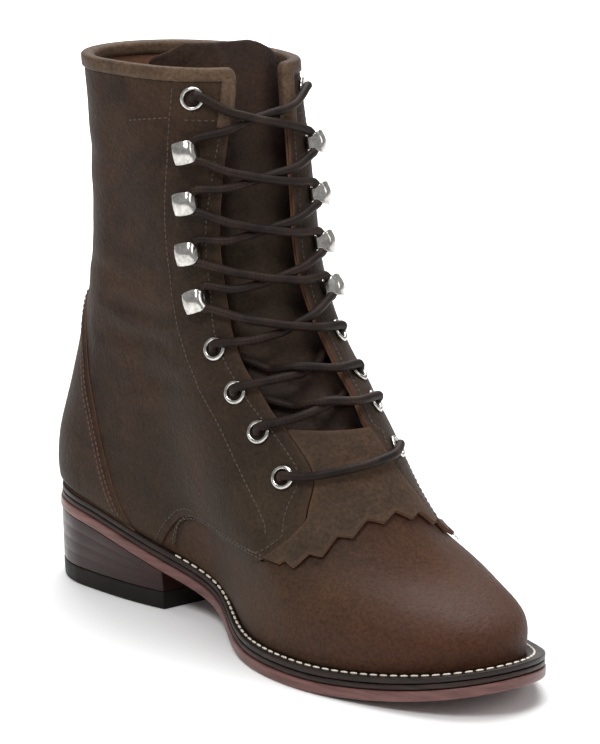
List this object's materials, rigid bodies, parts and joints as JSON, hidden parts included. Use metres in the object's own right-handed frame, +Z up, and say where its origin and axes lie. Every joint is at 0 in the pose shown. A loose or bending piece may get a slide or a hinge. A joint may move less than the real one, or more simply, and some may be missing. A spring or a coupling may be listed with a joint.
{
  "type": "lace-up roper boot",
  "caption": "Left lace-up roper boot with a fringed tongue flap, eyelets and hooks, a low stacked heel and a round toe.",
  "frame": {"origin": "centre of the heel's underside, on the floor", "axes": "+X to the toe, +Y to the boot's own left, which is the outer side of the foot, +Z up"},
  "size_m": [0.2825, 0.1127, 0.251],
  "materials": {
    "leather": "oiled dark brown nubuck, matt with burnished patches",
    "kiltie": "oiled dark brown nubuck, matt",
    "binding": "folded leather strip, satin",
    "tongue": "oiled dark brown leather, matt",
    "lining": "plain undyed leather, matt",
    "edge": "dyed dark brown edge, satin",
    "outsole": "red-brown sole leather, lightly waxed edge",
    "heel": "stacked leather, dyed dark red-brown, waxed",
    "rubber": "black, matt",
    "nickel": "bright nickel plate",
    "lace": "dark brown waxed cord"
  },
  "bodies": {
    "root": {"upper": "leather", "counter": "leather", "kiltie": "kiltie", "collar_binding": "binding", "tongue": "tongue", "insole": "lining", "midsole": "edge", "welt": "edge", "outsole": "outsole", "heel_stack": "heel", "heel_cap": "rubber", "eyelet_inner_1": "nickel", "eyelet_outer_1": "nickel", "eyelet_inner_2": "nickel", "eyelet_outer_2": "nickel", "eyelet_inner_3": "nickel", "eyelet_outer_3": "nickel", "eyelet_inner_4": "nickel", "eyelet_outer_4": "nickel", "hook_inner_5": "nickel", "hook_outer_5": "nickel", "hook_inner_6": "nickel", "hook_outer_6": "nickel", "hook_inner_7": "nickel", "hook_outer_7": "nickel", "hook_inner_8": "nickel", "hook_outer_8": "nickel", "eyelet_inner_9": "nickel", "eyelet_outer_9": "nickel", "lace_bar_1": "lace", "lace_cross_2": "lace", "lace_cross_3": "lace", "lace_cross_4": "lace", "lace_cross_5": "lace", "lace_cross_6": "lace", "lace_cross_7": "lace", "lace_cross_8": "lace"}
  },
  "joints": []
}
